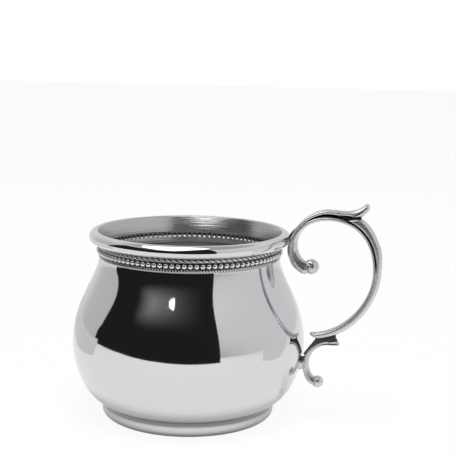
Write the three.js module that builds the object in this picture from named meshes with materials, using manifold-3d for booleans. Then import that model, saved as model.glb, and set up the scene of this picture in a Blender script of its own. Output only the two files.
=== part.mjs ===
// A baby cup in polished pewter. A spun bowl with a bead border and a rolled lip stands on a foot ring.
// Its handle is three cast scrolls: a large one, an outer one with a thumb tip, and a small lower one.
// Millimetres, +Z up. The cup stands on z = 0 and its handle points along +X.
import * as THREE from "three";
import { mergeVertices } from "three/addons/utils/BufferGeometryUtils.js";
import Module from "manifold-3d";

// Bowl. Heights are above the table, drops are below the top of the lip.
const BODY_HEIGHT = 56.7;
const WALL = 1.2;
const FLOOR_HEIGHT = 3.2;
const FLOOR_RADIUS = 21.3;
const BELLY_HEIGHT = 22.5;
const BELLY_RADIUS = 35.65;
const NECK_DROP = 7.4;
const NECK_RADIUS = 27.7;
const FLARE_DROP = 3.9;
const LIP_RADIUS = 30.55;
const LIP_ROLL_RADIUS = 1.85;
const LIP_ROLL_TURN = 270;

// Bead border, rolled into the wall: each bead outside is a dimple inside.
const BEAD_COUNT = 100;
const BEAD_RADIUS = 0.84;
const BEAD_STAND = 0.68;
const BEAD_DROP = 6.05;
const DIMPLE_RADIUS = 0.7;
const DIMPLE_DEPTH = 0.4;
const BEAD_ROOT = 0.3;
const DIMPLE_OPENING = 0.15;

// Foot ring, an upright band under the bowl. A concave fillet leads up to the bowl's underside.
const FOOT_RADIUS = 26.5;
const FOOT_INNER_RADIUS = 23.4;
const FOOT_TOE_RADIUS = 0.7;
const FOOT_FILLET_HEIGHT = 2.7;
const FOOT_FILLET_RADIUS = 2.3;
const FOOT_FILLET_TURN = 62;

// Handle, drawn in the plane y = 0. Reaches are outward from the lip or the belly. Rises and drops are from
// the top of the lip, or from the belly's height on what sits there.
const SCROLL_DEPTH = 3.6;
const SCROLL_END_DEPTH = 3.0;
const CURL_REACH = 6.5;
const CURL_DROP = 8.1;
const CURL_WIDTH = 4.0;
const CURL_SIDE_WIDTH = 3.4;
const KNOB_REACH = 6.9;
const KNOB_DROP = 9.3;
const KNOB_RADIUS = 2.28;
const KNOB_DEPTH_RADIUS = 2.15;
const JOINT_REACH = 2.55;
const JOINT_DROP = 2.95;
const JOINT_WIDTH = 2.95;
const BOSS_RADIUS = 1.2;
const BOSS_DEPTH_RADIUS = 2.3;
const TOP_REACH = 11.75;
const TOP_RISE = 4.8;
const INNER_STRIP_WIDTH = 1.4;
const SHOULDER_WIDTH = 3.75;
const UPPER_SIDE_WIDTH = 3.2;
const SIDE_REACH = 20.1;
const SIDE_DROP = 10.15;
const SIDE_WIDTH = 2.5;
const END_REACH = 2.3;
const END_RISE = 4.85;
const END_WIDTH = 1.95;
const GROOVE_WIDTH = 0.45;
const GROOVE_DEPTH = 0.4;

// Thumb scroll, the outer strip over the top of the handle.
const STRIP_ROOT_WIDTH = 0.9;
const STRIP_WIDTH = 1.5;
const STRIP_RISE = 8.13;
const DIP_REACH = 16.4;
const DIP_RISE = 7.93;
const THUMB_REACH = 22.75;
const THUMB_RISE = 10.85;
const THUMB_SLOPE = 33;
const THUMB_WIDTH = 2.6;
const THUMB_TIP_WIDTH = 2.3;
const THUMB_WEB_REACH = 21.2;
const THUMB_WEB_RISE = 7.3;
const THUMB_WEB_FOOT_RISE = 4.9;

// Lower scroll.
const LEAF_REACH = 10.95;
const LEAF_RISE = 1.35;
const LEAF_WIDTH = 1.3;
const CREST_REACH = 7.9;
const CREST_RISE = 1.25;
const BACK_REACH = 2.0;
const BACK_DROP = 4.9;
const BACK_WIDTH = 1.95;
const TAIL_REACH = 4.75;
const TAIL_DROP = 9.3;
const TAIL_WIDTH = 2.6;
const TAIL_KNOB_RADIUS = 1.8;
const TAIL_KNOB_DROP = 10.3;
const LEAF_WEB_REACH = 9.6;
const LEAF_WEB_RISE = 4.7;
const STEM_WEB_REACH = 4.0;
const STEM_WEB_RISE = 3.6;
const PAD_RADIUS = 2.2;
const PAD_DEPTH_RADIUS = 1.5;
const PAD_DROP = 5.1;
const WEB_DEPTH = 1.9;

// Gap left for the solder where two pieces meet.
const SEAM = 0.3;

// Leanings of curves from upright or level, in degrees.
const NECK_LEANING = 8;
const STRIP_ROOT_LEANING = -10.9;
const LEAF_LEANING = 8;

// Facets.
const ROUND_STEPS = 60;
const LOW_BELLY_STEPS = 6;
const HIGH_BELLY_STEPS = 7;
const ROLL_STEPS = 9;
const ROLL_INSIDE_STEPS = 2;
const EDGE_STEPS = 3;
const BEAD_SIDES = 6;
const BEAD_RINGS = 2;
const DIMPLE_SIDES = 5;
const DIMPLE_RINGS = 1;
const CURVE_STEPS = 9;
const SECTION_STEPS = 10;
const SECTION_POWER = 0.75;

// How far each curve keeps to its first and its last heading, as shares of the way it has to go there.
const QUARTER_ELLIPSE = [0.55, 0.55];
const LOW_BELLY_CURVE = [0.84, 0.24];
const HIGH_BELLY_CURVE = [0.475, 0.22];
const CURL_CURVE = [0.54, 0.54];
const ARCH_CURVE = [0.6, 0.6];
const SHOULDER_CURVE = [0.62, 0.61];
const SIDE_TO_END_CURVE = [0.51, 0.48];
const STRIP_CURVE = [0.38, 0.5];
const DIP_CURVE = [0.41, 0.38];
const THUMB_CURVE = [0.47, 0.3];
const LEAF_CURVE = [0.4, 0.4];
const CREST_CURVE = [0.58, 0.55];
const TAIL_CURVE = [0.62, 0.62];

// Where each scroll reaches its widths, and what the groove and the webs span, as shares of bends passed.
const MAIN_SHARES = [0, 0.6, 1, 1.45, 2.19, 2.37, 2.65, 3.1, 3.6, 4];
const THUMB_SHARES = [0, 1, 2.05, 2.6, 3];
const LOWER_SHARES = [0, 1.3, 1.9, 2.3, 3];
const GROOVE_SHARES = [2.19, 3];
const THUMB_WEB_SHARES = [1.7, 2.75];
const LEAF_WEB_SHARES = [0.2, 1.75];

// A scroll's ends are rounded over a nose, as a share of a bend, with sections at some shares of the nose.
const NOSES = [0.2, 0.2];
const MAIN_NOSES = [0.2, 0.06];
const NOSE_STEPS = [0, 0.13, 0.5, 1];

const LIP_HEIGHT = BODY_HEIGHT - LIP_ROLL_RADIUS;
const LIP_ROLL_CENTRE = LIP_RADIUS - LIP_ROLL_RADIUS;
const NECK_HEIGHT = BODY_HEIGHT - NECK_DROP;
const BEAD_HEIGHT = BODY_HEIGHT - BEAD_DROP;

const wasm = await Module();
wasm.setup();

const RIGHT = new THREE.Vector2(1, 0);
const LEFT = new THREE.Vector2(-1, 0);
const UP = new THREE.Vector2(0, 1);
const DOWN = new THREE.Vector2(0, -1);

// A closed geometry as a solid that can be joined and cut.
function solidOf(geometry) {
  const bare = new THREE.BufferGeometry();
  bare.setAttribute("position", geometry.getAttribute("position"));
  bare.setIndex(geometry.index);
  const merged = mergeVertices(bare);
  const corners = merged.index.array;
  const triVerts = [];
  for (let i = 0; i < corners.length; i += 3) {
    const [a, b, c] = [corners[i], corners[i + 1], corners[i + 2]];
    if (a !== b && b !== c && c !== a) triVerts.push(a, b, c);
  }
  return new wasm.Manifold(
    new wasm.Mesh({
      numProp: 3,
      vertProperties: merged.attributes.position.array,
      triVerts: Uint32Array.from(triVerts),
    }),
  );
}

// A solid as a named mesh with its finish.
function piece(name, solid, finish) {
  const mesh = solid.getMesh();
  const geometry = new THREE.BufferGeometry();
  geometry.setAttribute("position", new THREE.BufferAttribute(mesh.vertProperties, 3));
  geometry.setIndex(new THREE.BufferAttribute(mesh.triVerts, 1));
  geometry.computeVertexNormals();
  const made = new THREE.Mesh(geometry, new THREE.MeshStandardMaterial(finish));
  made.name = name;
  return made;
}

// A closed profile of radius and height, turned round the cup's axis.
function turned(profile) {
  return solidOf(new THREE.LatheGeometry(profile, ROUND_STEPS).rotateX(Math.PI / 2));
}

// Points on an arc about a centre, from one angle to another in degrees.
function arc(centre, radius, from, to, steps) {
  const points = [];
  for (let i = 0; i <= steps; i += 1) {
    const angle = THREE.MathUtils.degToRad(THREE.MathUtils.lerp(from, to, i / steps));
    points.push(new THREE.Vector2(radius * Math.cos(angle), radius * Math.sin(angle)).add(centre));
  }
  return points;
}

// A cubic curve that leaves one point along a heading and arrives at the next along another.
function bend(from, heading, to, arriving, [leave, arrive] = QUARTER_ELLIPSE) {
  const way = to.clone().sub(from);
  return new THREE.CubicBezierCurve(
    from,
    from.clone().addScaledVector(heading, leave * Math.abs(way.dot(heading))),
    to.clone().addScaledVector(arriving, -arrive * Math.abs(way.dot(arriving))),
    to,
  );
}

// A heading turned counterclockwise, in degrees.
function leaning(heading, degrees) {
  return heading.clone().rotateAround(new THREE.Vector2(), THREE.MathUtils.degToRad(degrees));
}

// Points beside a curve, at a distance to the right of its heading.
function beside(curve, distance, steps) {
  const points = [];
  for (let i = 0; i <= steps; i += 1) {
    const heading = curve.getTangent(i / steps);
    points.push(
      curve.getPoint(i / steps).addScaledVector(new THREE.Vector2(heading.y, -heading.x), distance),
    );
  }
  return points;
}

// A size that changes smoothly from one place along a scroll to the next.
function sizeAlong(places, sizes) {
  return (place) => {
    let size = sizes[0];
    for (let i = 1; i < places.length; i += 1) {
      size += THREE.MathUtils.smoothstep(place, places[i - 1], places[i]) * (sizes[i] - sizes[i - 1]);
    }
    return size;
  };
}

// A cast scroll: a rounded bar beside a line of bends, in the handle's plane. side is 1 where the bar lies
// left of the heading and -1 where it lies right, and offset is its distance from the line. grow enlarges it
// all round.
function scroll({
  bends,
  from = 0,
  to = bends.length,
  side,
  width,
  depth,
  offset = 0,
  y = 0,
  grow = 0,
  noses = NOSES,
}) {
  const places = placesAlong(from, to, noses);
  const positions = [];
  const indices = [];
  places.forEach((place, i) => {
    const { middle, heading, outward } = crossSection(bends, place, side, offset, width(place));
    const fromEnd = Math.min((place - from) / noses[0], (to - place) / noses[1], 1);
    const rounding = Math.sqrt(1 - (1 - fromEnd) ** 2);
    const isLast = i === places.length - 1;
    const isEnd = i === 0 || isLast;
    if (isEnd) middle.addScaledVector(heading, isLast ? grow : -grow);
    const halfWidth = isEnd ? 0 : (width(place) / 2) * rounding + grow;
    const halfDepth = isEnd ? 0 : (depth(place) / 2) * rounding + grow;
    for (let j = 0; j < SECTION_STEPS; j += 1) {
      const angle = (side * -2 * Math.PI * j) / SECTION_STEPS;
      const across = halfWidth * squared(Math.cos(angle));
      const deep = halfDepth * squared(Math.sin(angle));
      positions.push(middle.x + outward.x * across, y + deep, middle.y + outward.y * across);
      if (isLast) continue;
      const here = i * SECTION_STEPS + j;
      const next = i * SECTION_STEPS + ((j + 1) % SECTION_STEPS);
      indices.push(here, next, here + SECTION_STEPS);
      indices.push(next, next + SECTION_STEPS, here + SECTION_STEPS);
    }
  });
  const geometry = new THREE.BufferGeometry();
  geometry.setAttribute("position", new THREE.Float32BufferAttribute(positions, 3));
  geometry.setIndex(indices);
  return solidOf(geometry);
}

// Places of a scroll's sections, closer together where its ends are rounded.
function placesAlong(from, to, [firstNose, lastNose]) {
  const first = NOSE_STEPS.map((share) => from + share * firstNose);
  const last = NOSE_STEPS.map((share) => to - share * lastNose).reverse();
  const [start, end] = [from + firstNose, to - lastNose];
  const steps = Math.max(Math.round((end - start) * CURVE_STEPS), 1);
  const between = [];
  for (let i = 1; i < steps; i += 1) between.push(THREE.MathUtils.lerp(start, end, i / steps));
  return [...first, ...between, ...last];
}

// The middle of a scroll's section at a place, with the line's heading there and the way out from the line.
function crossSection(bends, place, side, offset, width) {
  const index = Math.min(Math.floor(place), bends.length - 1);
  const heading = bends[index].getTangentAt(place - index);
  const outward = new THREE.Vector2(-heading.y, heading.x).multiplyScalar(side);
  const middle = bends[index].getPointAt(place - index).addScaledVector(outward, offset + width / 2);
  return { middle, heading, outward };
}

// Squares a scroll's round section a little, so that its sides read as faces with soft edges.
function squared(value) {
  return Math.sign(value) * Math.abs(value) ** SECTION_POWER;
}

// A ball about a point in the handle's plane.
function ball(centre, radius, depthRadius, grow) {
  const sphere = new THREE.SphereGeometry(1, SECTION_STEPS, SECTION_STEPS - 2);
  return solidOf(
    sphere.scale(radius + grow, depthRadius + grow, radius + grow).translate(centre.x, 0, centre.y),
  );
}

// A plate in the handle's plane, from its outline.
function plate(outline, depth) {
  const geometry = new THREE.ExtrudeGeometry(new THREE.Shape(outline), { depth, bevelEnabled: false });
  return solidOf(geometry.translate(0, 0, -depth / 2).rotateX(Math.PI / 2));
}

// The outside of the bowl from the floor's edge to the belly, and from the belly to the neck.
function bowlCurves() {
  const floor = new THREE.Vector2(FLOOR_RADIUS, FLOOR_HEIGHT);
  const belly = new THREE.Vector2(BELLY_RADIUS, BELLY_HEIGHT);
  const neck = new THREE.Vector2(NECK_RADIUS, NECK_HEIGHT);
  return [
    bend(floor, RIGHT, belly, UP, LOW_BELLY_CURVE),
    bend(belly, UP, neck, leaning(UP, NECK_LEANING), HIGH_BELLY_CURVE),
  ];
}

// The bowl's outside, grown by a clearance and closed across the mouth, to cut the pieces that meet it.
function bowlEnvelope(clearance) {
  const [low, high] = bowlCurves();
  const outside = [...beside(low, clearance, CURVE_STEPS), ...beside(high, clearance, CURVE_STEPS).slice(1)];
  const body = turned([
    new THREE.Vector2(0, outside[0].y),
    ...outside,
    new THREE.Vector2(NECK_RADIUS + clearance, LIP_HEIGHT),
    new THREE.Vector2(0, LIP_HEIGHT),
  ]);
  const roll = new THREE.Vector2(LIP_ROLL_CENTRE, LIP_HEIGHT);
  return body.add(turned(arc(roll, LIP_ROLL_RADIUS + clearance, 0, 360, 2 * ROLL_STEPS)));
}

// One bead, or one dimple's cutter: a dome that rises from z = 0 and reaches below it.
function dome(radius, height, below, sides, rings) {
  const centre = new THREE.Vector2(0, height - radius);
  const start = THREE.MathUtils.radToDeg(Math.asin((radius - height - below) / radius));
  const profile = [new THREE.Vector2(0, -below), ...arc(centre, radius, start, 90, rings)];
  return new THREE.LatheGeometry(profile, sides).rotateX(Math.PI / 2);
}

// Copies of a dome round the cup at the bead border, each pointing outward from a radius.
function ringOfDomes(geometry, radius) {
  const copies = [];
  for (let i = 0; i < BEAD_COUNT; i += 1) {
    const copy = geometry.clone().rotateY(Math.PI / 2).translate(radius, 0, BEAD_HEIGHT);
    copies.push(solidOf(copy.rotateZ((2 * Math.PI * i) / BEAD_COUNT)));
  }
  return wasm.Manifold.union(copies);
}

function bowl() {
  const [low, high] = bowlCurves();
  const innerLow = beside(low, -WALL, LOW_BELLY_STEPS);
  const innerHigh = beside(high, -WALL, HIGH_BELLY_STEPS).slice(1);
  const rollCentre = new THREE.Vector2(LIP_ROLL_CENTRE, LIP_HEIGHT);
  const rollEnd = 180 - LIP_ROLL_TURN;
  const shell = turned([
    new THREE.Vector2(0, FLOOR_HEIGHT),
    ...low.getPoints(LOW_BELLY_STEPS),
    ...high.getPoints(HIGH_BELLY_STEPS).slice(1),
    new THREE.Vector2(NECK_RADIUS, BODY_HEIGHT - FLARE_DROP),
    ...arc(rollCentre, LIP_ROLL_RADIUS - WALL, 180, rollEnd, ROLL_INSIDE_STEPS),
    ...arc(rollCentre, LIP_ROLL_RADIUS, rollEnd, 180, ROLL_STEPS),
    new THREE.Vector2(NECK_RADIUS - WALL, BODY_HEIGHT - FLARE_DROP),
    ...innerHigh.reverse(),
    ...innerLow.reverse(),
    new THREE.Vector2(0, FLOOR_HEIGHT + WALL),
  ]);
  const bead = dome(BEAD_RADIUS, BEAD_STAND, BEAD_ROOT, BEAD_SIDES, BEAD_RINGS);
  const dimple = dome(DIMPLE_RADIUS, DIMPLE_DEPTH, DIMPLE_OPENING, DIMPLE_SIDES, DIMPLE_RINGS);
  return shell.add(ringOfDomes(bead, NECK_RADIUS)).subtract(ringOfDomes(dimple, NECK_RADIUS - WALL));
}

function footRing() {
  const toe = new THREE.Vector2(FOOT_RADIUS - FOOT_TOE_RADIUS, FOOT_TOE_RADIUS);
  const hollow = new THREE.Vector2(FOOT_RADIUS + FOOT_FILLET_RADIUS, FOOT_FILLET_HEIGHT);
  const fillet = arc(hollow, FOOT_FILLET_RADIUS, 180, 180 - FOOT_FILLET_TURN, EDGE_STEPS);
  const band = turned([
    new THREE.Vector2(FOOT_INNER_RADIUS, 0),
    ...arc(toe, FOOT_TOE_RADIUS, -90, 0, EDGE_STEPS),
    ...fillet,
    new THREE.Vector2(FOOT_INNER_RADIUS, fillet[EDGE_STEPS].y),
    new THREE.Vector2(FOOT_INNER_RADIUS, 0),
  ]);
  return band.subtract(bowlEnvelope(SEAM));
}

// A point outward from a radius and up from a height.
function pointFrom(radius, reach, height, rise) {
  return new THREE.Vector2(radius + reach, height + rise);
}

// The large scroll's inner line: from the knob round the curl, up past the lip, over the top, down the side
// and in to the end above the belly.
function mainBends() {
  const curl = pointFrom(LIP_RADIUS, CURL_REACH, BODY_HEIGHT, -CURL_DROP);
  const joint = pointFrom(LIP_RADIUS, JOINT_REACH, BODY_HEIGHT, -JOINT_DROP);
  const top = pointFrom(LIP_RADIUS, TOP_REACH, BODY_HEIGHT, TOP_RISE);
  const side = pointFrom(BELLY_RADIUS, SIDE_REACH, BODY_HEIGHT, -SIDE_DROP);
  const end = pointFrom(BELLY_RADIUS, END_REACH, BELLY_HEIGHT, END_RISE);
  return [
    bend(curl, LEFT, joint, UP, CURL_CURVE),
    bend(joint, UP, top, RIGHT, ARCH_CURVE),
    bend(top, RIGHT, side, DOWN, SHOULDER_CURVE),
    bend(side, DOWN, end, LEFT, SIDE_TO_END_CURVE),
  ];
}

// The large scroll with its knob and the boss that meets the lip. It is thin where the thumb scroll lies.
function mainScroll(grow = 0) {
  const bends = mainBends();
  const width = sizeAlong(MAIN_SHARES, [
    CURL_WIDTH,
    CURL_SIDE_WIDTH,
    JOINT_WIDTH,
    INNER_STRIP_WIDTH,
    INNER_STRIP_WIDTH,
    SHOULDER_WIDTH,
    UPPER_SIDE_WIDTH,
    SIDE_WIDTH,
    SIDE_WIDTH,
    END_WIDTH,
  ]);
  const depth = sizeAlong([3, 4], [SCROLL_DEPTH, SCROLL_END_DEPTH]);
  const bar = scroll({ bends, side: 1, width, depth, grow, noses: MAIN_NOSES });
  const knob = ball(
    pointFrom(LIP_RADIUS, KNOB_REACH, BODY_HEIGHT, -KNOB_DROP),
    KNOB_RADIUS,
    KNOB_DEPTH_RADIUS,
    grow,
  );
  const boss = ball(pointFrom(LIP_RADIUS, 0, LIP_HEIGHT, 0), BOSS_RADIUS, BOSS_DEPTH_RADIUS, grow);
  return bar.add(knob).add(boss);
}

// The groove along both sides of the large scroll, below the thumb. It carries on the thumb scroll's seam.
function grooves() {
  const [from, to] = GROOVE_SHARES;
  const cut = (y) =>
    scroll({
      bends: mainBends(),
      from,
      to,
      side: 1,
      offset: INNER_STRIP_WIDTH,
      width: () => GROOVE_WIDTH,
      depth: () => 2 * GROOVE_DEPTH,
      y,
    });
  return cut(SCROLL_DEPTH / 2).add(cut(-SCROLL_DEPTH / 2));
}

// The outer line of the thumb scroll: up from the joint, over the top, through a dip and out to the tip.
function thumbBends() {
  const root = pointFrom(LIP_RADIUS, JOINT_REACH - JOINT_WIDTH, BODY_HEIGHT, -JOINT_DROP);
  const top = pointFrom(LIP_RADIUS, TOP_REACH, BODY_HEIGHT, STRIP_RISE);
  const dip = pointFrom(LIP_RADIUS, DIP_REACH, BODY_HEIGHT, DIP_RISE);
  const tip = pointFrom(LIP_RADIUS, THUMB_REACH, BODY_HEIGHT, THUMB_RISE);
  return [
    bend(root, leaning(UP, STRIP_ROOT_LEANING), top, RIGHT, STRIP_CURVE),
    bend(top, RIGHT, dip, RIGHT, DIP_CURVE),
    bend(dip, RIGHT, tip, leaning(RIGHT, THUMB_SLOPE), THUMB_CURVE),
  ];
}

// The thumb scroll with the web under its tip, fitted to the large scroll and the lip.
function thumbScroll() {
  const bends = thumbBends();
  const width = sizeAlong(THUMB_SHARES, [
    STRIP_ROOT_WIDTH,
    STRIP_WIDTH,
    STRIP_WIDTH,
    THUMB_WIDTH,
    THUMB_TIP_WIDTH,
  ]);
  const bar = scroll({ bends, side: -1, width, depth: () => SCROLL_DEPTH });
  const [webStart, webEnd] = THUMB_WEB_SHARES.map((at) => crossSection(bends, at, -1, 0, width(at)).middle);
  const under = crossSection(mainBends(), GROOVE_SHARES[0], 1, 0, INNER_STRIP_WIDTH).middle;
  const foot = pointFrom(LIP_RADIUS, THUMB_WEB_REACH, BODY_HEIGHT, THUMB_WEB_FOOT_RISE);
  const corner = pointFrom(LIP_RADIUS, THUMB_WEB_REACH, BODY_HEIGHT, THUMB_WEB_RISE);
  const web = plate([webStart, under, foot, corner, webEnd], WEB_DEPTH);
  return bar.add(web).subtract(mainScroll(SEAM)).subtract(bowlEnvelope(SEAM));
}

// The inner line of the lower scroll: from the leaf tip over the crest, down the back and round to the tail.
function lowerBends() {
  const leaf = pointFrom(BELLY_RADIUS, LEAF_REACH, BELLY_HEIGHT, LEAF_RISE);
  const crest = pointFrom(BELLY_RADIUS, CREST_REACH, BELLY_HEIGHT, CREST_RISE);
  const back = pointFrom(BELLY_RADIUS, BACK_REACH, BELLY_HEIGHT, -BACK_DROP);
  const tail = pointFrom(BELLY_RADIUS, TAIL_REACH, BELLY_HEIGHT, -TAIL_DROP);
  return [
    bend(leaf, leaning(LEFT, LEAF_LEANING), crest, LEFT, LEAF_CURVE),
    bend(crest, LEFT, back, DOWN, CREST_CURVE),
    bend(back, DOWN, tail, RIGHT, TAIL_CURVE),
  ];
}

// The lower scroll with its knob, the pad on the belly and the web up to the large scroll.
function lowerScroll() {
  const bends = lowerBends();
  const width = sizeAlong(LOWER_SHARES, [LEAF_WIDTH, LEAF_WIDTH, BACK_WIDTH, BACK_WIDTH, TAIL_WIDTH]);
  const bar = scroll({ bends, side: -1, width, depth: () => SCROLL_END_DEPTH });
  const knob = ball(
    pointFrom(BELLY_RADIUS, TAIL_REACH, BELLY_HEIGHT, -TAIL_KNOB_DROP),
    TAIL_KNOB_RADIUS,
    TAIL_KNOB_RADIUS,
    0,
  );
  const onBar = (place) => crossSection(bends, place, -1, 0, width(place)).middle;
  const [atLeaf, atStem] = LEAF_WEB_SHARES.map(onBar);
  const overStem = pointFrom(BELLY_RADIUS, STEM_WEB_REACH, BELLY_HEIGHT, STEM_WEB_RISE);
  const overLeaf = pointFrom(BELLY_RADIUS, LEAF_WEB_REACH, BELLY_HEIGHT, LEAF_WEB_RISE);
  const web = plate([atStem, overStem, overLeaf, atLeaf], WEB_DEPTH);
  const padLength = 2 * BACK_WIDTH;
  const pad = solidOf(
    new THREE.CylinderGeometry(1, 1, padLength, 2 * SECTION_STEPS)
      .rotateZ(Math.PI / 2)
      .scale(1, PAD_RADIUS, PAD_DEPTH_RADIUS)
      .rotateX(Math.PI / 2)
      .translate(onBar(2).x - padLength / 2, 0, BELLY_HEIGHT - PAD_DROP),
  );
  return bar.add(knob).add(web).add(pad).subtract(mainScroll(SEAM)).subtract(bowlEnvelope(SEAM));
}

const cup = new THREE.Group();
const polished = { color: 0xd4d6d8, roughness: 0.08, metalness: 1 };
const cast = { color: 0xc4c6c8, roughness: 0.18, metalness: 1 };
cup.add(piece("bowl", bowl(), polished));
cup.add(piece("foot_ring", footRing(), polished));
cup.add(piece("main_scroll", mainScroll().subtract(grooves()).subtract(bowlEnvelope(SEAM)), cast));
cup.add(piece("thumb_scroll", thumbScroll(), cast));
cup.add(piece("lower_scroll", lowerScroll(), cast));

// The frame's origin is on the table, under the middle of the cup and its handle.
const outline = new THREE.Box3().setFromObject(cup);
cup.position.x = -(outline.min.x + outline.max.x) / 2;

export default cup;
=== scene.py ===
"""A baby cup in polished pewter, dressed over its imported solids. Metres, +Z up, handle along +X."""

import math
from collections import namedtuple

import bpy
import numpy as np
from bpy.props import FloatProperty, FloatVectorProperty, IntProperty, PointerProperty
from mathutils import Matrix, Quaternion, Vector


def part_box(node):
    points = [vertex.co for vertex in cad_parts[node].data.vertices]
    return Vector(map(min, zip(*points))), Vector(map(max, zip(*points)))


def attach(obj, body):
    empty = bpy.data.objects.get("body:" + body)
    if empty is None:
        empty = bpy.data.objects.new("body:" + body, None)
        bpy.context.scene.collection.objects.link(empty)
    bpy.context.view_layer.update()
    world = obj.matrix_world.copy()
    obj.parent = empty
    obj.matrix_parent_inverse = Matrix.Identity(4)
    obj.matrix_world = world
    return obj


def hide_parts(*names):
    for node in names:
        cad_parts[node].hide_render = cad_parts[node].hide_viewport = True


bl_info = {
    "name": "Baby Cup",
    "version": (1, 0, 0),
    "blender": (4, 5, 0),
    "location": "3D View > Sidebar > Baby Cup",
    "description": "A bulged pewter baby cup with bead border and scroll handle, on a white table",
    "category": "Add Mesh",
}

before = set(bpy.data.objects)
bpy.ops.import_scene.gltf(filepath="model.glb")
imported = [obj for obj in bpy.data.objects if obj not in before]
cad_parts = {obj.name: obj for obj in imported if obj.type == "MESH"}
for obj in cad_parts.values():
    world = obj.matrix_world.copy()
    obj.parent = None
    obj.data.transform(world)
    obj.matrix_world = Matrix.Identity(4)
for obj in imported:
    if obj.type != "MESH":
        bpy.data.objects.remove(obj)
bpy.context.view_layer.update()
MM = 0.001
BODY = "root"

# The cup's axis, in the frame. The bowl's box is centred on it.
AXIS_X = (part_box("bowl")[0].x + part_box("bowl")[1].x) / 2

# Facets round the cup. A bead takes BEAD_COLUMNS columns, and the plain wall a fifth of them.
BEAD_COLUMNS = 12
FINE_TO_PLAIN = 5
FOOT_COLUMNS = 288

# Facets along the bowl's section.
WALL_RINGS = 53
BAND_RINGS = 13
ROPE_STEPS = 8
UNDER_ROLL_STEPS = 12
OVER_ROLL_STEPS = 44
FLOOR_SHARES = (0.35, 0.7, 0.9)
FLARE_SHARES = (0, 0.03, 0.15, 0.32, 0.5, 0.68, 0.85, 0.97)

# Facets of the handle.
CURVE_SAMPLES = 400
BAR_STEP = 0.01
NOSE_STEPS = 12
SECTION_POINTS = 96
KNOB_RINGS = 47
KNOB_COLUMNS = 72
SLAB_RINGS = 13
PAD_RINGS = 15
PAD_COLUMNS = 48
GROOVE_SHADE_COLUMNS = 16

SHARP_ANGLE = math.radians(50)
RIGHT, LEFT, UP, DOWN = np.array([[1, 0], [-1, 0], [0, 1], [0, -1]], float)

# How far the inner control points of a cubic reach for a quarter of an ellipse.
QUARTER_ELLIPSE = 0.55

# The share of a bend over which a bar's end is rounded.
NOSE = 0.16


# Settings.
def length(name, description, millimetres):
    """A length that the user can change."""
    default = millimetres * MM
    return FloatProperty(
        name=name, description=description, default=default, min=0, unit="LENGTH", precision=5
    )


def position(name, description, *millimetres):
    """A point that the user can change."""
    default = [size * MM for size in millimetres]
    return FloatVectorProperty(
        name=name, description=description, default=default, subtype="TRANSLATION"
    )


def rotation(name, description, degrees):
    """An angle that the user can change."""
    default = math.radians(degrees)
    return FloatProperty(name=name, description=description, default=default, subtype="ANGLE")


def colour(name, description, code):
    """A colour that the user can change, given as an sRGB hex value."""
    default = linear(code)[:3]
    return FloatVectorProperty(
        name=name, description=description, default=default, min=0, max=1, size=3, subtype="COLOR"
    )


def linear(code):
    """An sRGB hex value as linear red, green, blue and alpha."""
    parts = np.array([int(code[i : i + 2], 16) for i in (1, 3, 5)]) / 255
    parts = np.where(parts <= 0.04045, parts / 12.92, ((parts + 0.055) / 1.055) ** 2.4)
    return (*parts.tolist(), 1.0)


class BowlSettings(bpy.types.PropertyGroup):
    """Sizes of the spun bowl. Drops are below the top of the lip."""

    height: length("Height", "From the table to the top of the lip", 56.7)
    wall: length("Wall", "Thickness of the spun sheet", 1.2)
    floor_height: length("Floor height", "From the table to the underside of the floor", 3.2)
    floor_radius: length("Floor radius", "Radius of the flat floor", 21.3)
    belly_height: length("Belly height", "Height of the widest place", 22.5)
    belly_radius: length("Belly radius", "Radius at the widest place", 35.65)
    neck_drop: length("Neck drop", "From the top of the lip to the neck under the border", 8.07)
    neck_lean: rotation("Neck lean", "How far the wall leans in at the neck", 4)
    neck_step: length("Neck step", "How far the neck stands back under the border", 0.18)
    neck_radius: length("Neck radius", "Outer radius of the straight neck", 27.7)
    lip_radius: length("Lip radius", "Outer radius of the rolled lip", 30.55)
    lip_roll: length("Lip roll", "Radius of the rolled lip's section", 1.85)
    bead_count: IntProperty(name="Beads", description="Beads in the border", default=100, min=24)
    bead_radius: length("Bead radius", "Radius of one bead", 0.84)
    bead_stand: length("Bead stand", "How far a bead stands out of the wall", 0.68)
    bead_drop: length("Bead drop", "From the top of the lip to the middle of the border", 6.05)
    rope_radius: length("Rope", "Radius of the half-round ropes above and below the beads", 0.55)
    rope_stand: length("Rope stand", "How far the upper rope stands out of the wall", 0.3)
    low_rope_stand: length("Low rope stand", "How far the lower rope stands out", 0.26)
    rope_offset: length("Rope offset", "From the middle of the border to that of a rope", 1.5)
    dimple_radius: length("Dimple radius", "Radius of the hollow behind a bead", 0.78)
    dimple_depth: length("Dimple depth", "Depth of the hollow behind a bead", 0.4)
    ledge: length("Ledge", "How far the back of the lower rope stands in", 0.42)
    ledge_fade: length("Ledge fade", "How far down the neck the ledge fades out", 1.5)


class FootSettings(bpy.types.PropertyGroup):
    """Sizes of the foot ring."""

    radius: length("Radius", "Outer radius of the ring", 26.5)
    toe: length("Toe", "Rounding of the ring's lower edge", 1.3)
    fillet_height: length("Fillet height", "Where the fillet up to the bowl starts", 2.95)
    fillet_radius: length("Fillet radius", "Radius of the fillet up to the bowl", 2.3)
    inner_radius: length("Inner radius", "Inner radius of the ring", 23.4)


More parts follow.
